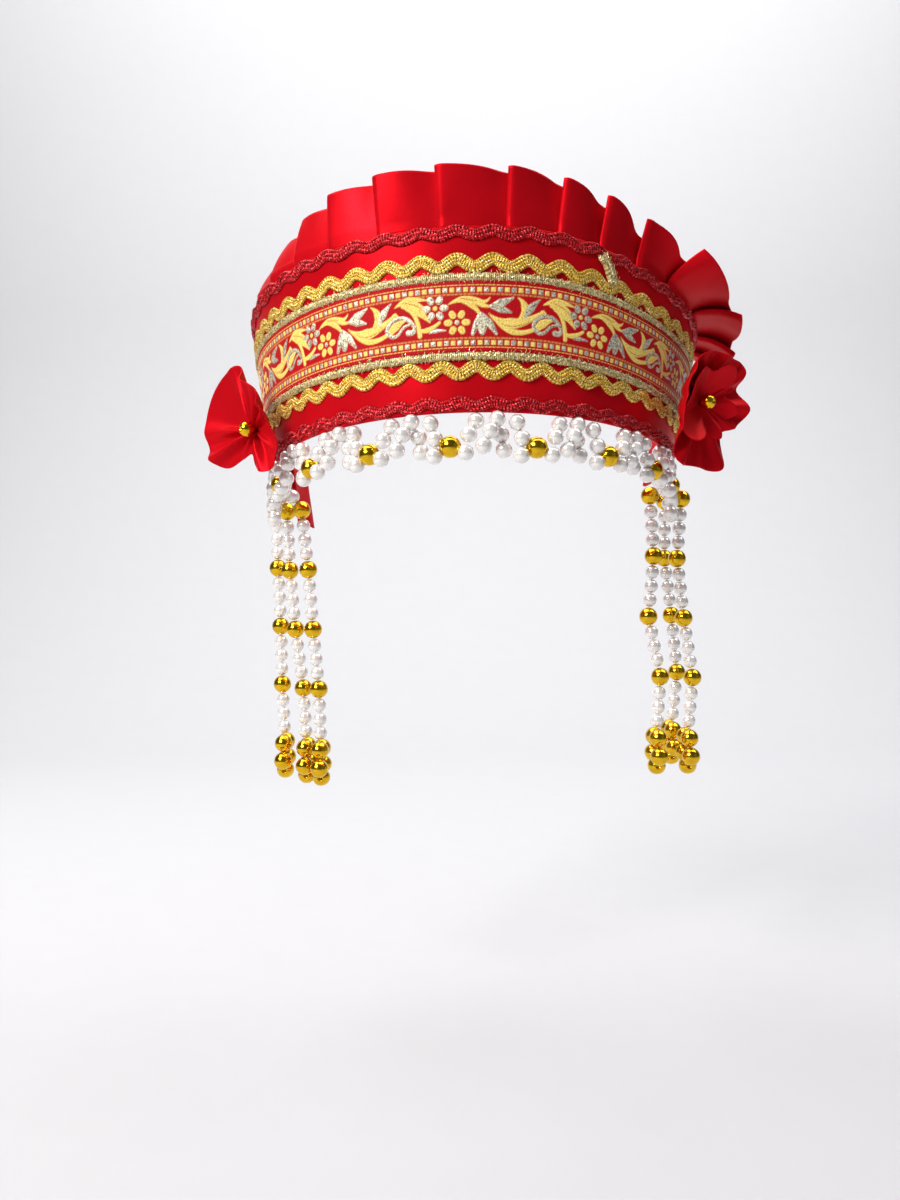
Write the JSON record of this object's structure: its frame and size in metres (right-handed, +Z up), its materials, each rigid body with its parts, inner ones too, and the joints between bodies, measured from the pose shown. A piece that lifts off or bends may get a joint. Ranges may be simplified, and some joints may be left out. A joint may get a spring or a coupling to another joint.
{
  "type": "kokoshnik headdress",
  "caption": "Stiff red satin headdress band with woven ribbon and lurex braid, a pleated ruffle, satin rosettes, a bead net on the forehead and bead strands at the temples.",
  "frame": {"origin": "middle of the head opening at the level of the lower rim over the ears, where the headdress sits on the head", "axes": "+Z up, front faces -Y, +X to the right as seen from the front"},
  "size_m": [0.228, 0.2141, 0.2315],
  "materials": {
    "satin": "satin",
    "jacquard": "woven",
    "gold_lurex": "metallic thread",
    "red_lurex": "metallic thread",
    "pearl": "pearlescent",
    "gold_bead": "metallised"
  },
  "bodies": {
    "root": {"crown_band": "satin", "jacquard_ribbon": "jacquard", "upper_gold_braid": "gold_lurex", "lower_gold_braid": "gold_lurex", "upper_red_braid": "red_lurex", "lower_red_braid": "red_lurex", "pleated_ruffle": "satin", "back_strap": "satin", "tie_end": "satin", "left_rosette": "satin", "left_rosette_bead": "gold_bead", "right_rosette": "satin", "right_rosette_bead": "gold_bead", "bead_net": "pearl", "strand_left_1": "pearl", "strand_left_2": "pearl", "strand_left_3": "pearl", "strand_right_1": "pearl", "strand_right_2": "pearl", "strand_right_3": "pearl"}
  },
  "joints": []
}
